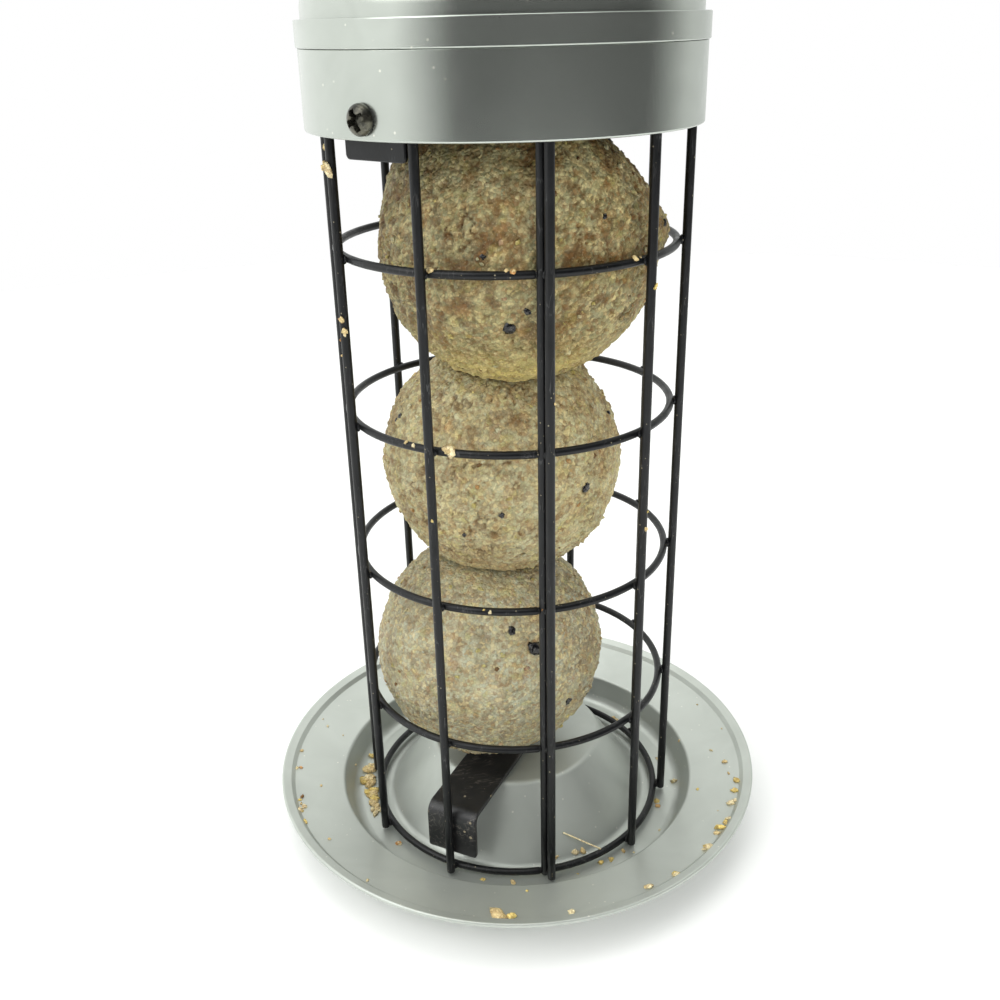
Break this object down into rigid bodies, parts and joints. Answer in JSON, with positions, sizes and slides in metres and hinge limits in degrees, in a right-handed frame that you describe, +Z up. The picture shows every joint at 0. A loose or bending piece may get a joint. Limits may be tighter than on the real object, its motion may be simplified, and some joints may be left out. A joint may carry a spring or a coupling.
{
  "type": "bird feeder",
  "caption": "Hanging fat-ball bird feeder: welded wire cage on a moulded saucer tray, under a collar and a domed lid that slides up a wire bail for filling.",
  "frame": {"origin": "centre of the tray's foot, on the surface that the feeder stands on", "axes": "+Z up along the cage's axis, -Y towards the cage's seam, +X to the right of it"},
  "size_m": [0.151, 0.151, 0.3727],
  "materials": {
    "pewter_plastic": "satin, silver-grey moulded plastic",
    "black_coat": "satin black coated steel",
    "dark_steel": "dark zinc-plated steel",
    "fat_and_seed": "pressed fat with grain and seed, dull and crumbly"
  },
  "bodies": {
    "feeder": {"tray": "pewter_plastic", "tray_screw": "dark_steel", "tray_washer": "dark_steel", "floor_strap": "black_coat", "cage_ring_1": "black_coat", "cage_ring_2": "black_coat", "cage_ring_3": "black_coat", "cage_ring_4": "black_coat", "cage_ring_5": "black_coat", "cage_ring_6": "black_coat", "upright_1": "black_coat", "upright_2": "black_coat", "upright_3": "black_coat", "upright_4": "black_coat", "upright_5": "black_coat", "upright_6": "black_coat", "upright_7": "black_coat", "upright_8": "black_coat", "upright_9": "black_coat", "upright_10": "black_coat", "seam_upright": "black_coat", "collar_tab_left": "black_coat", "collar_tab_right": "black_coat", "collar": "pewter_plastic", "collar_screw_left": "dark_steel", "collar_screw_right": "dark_steel", "bail": "black_coat", "fat_ball_bottom": "fat_and_seed", "fat_ball_middle": "fat_and_seed", "fat_ball_top": "fat_and_seed"},
    "lid": {"lid": "pewter_plastic"}
  },
  "joints": [
    {"name": "lid_lift", "type": "slide", "parent": "feeder", "child": "lid", "axis": [0, 0, 1], "range_m": [0, 0.08]}
  ]
}
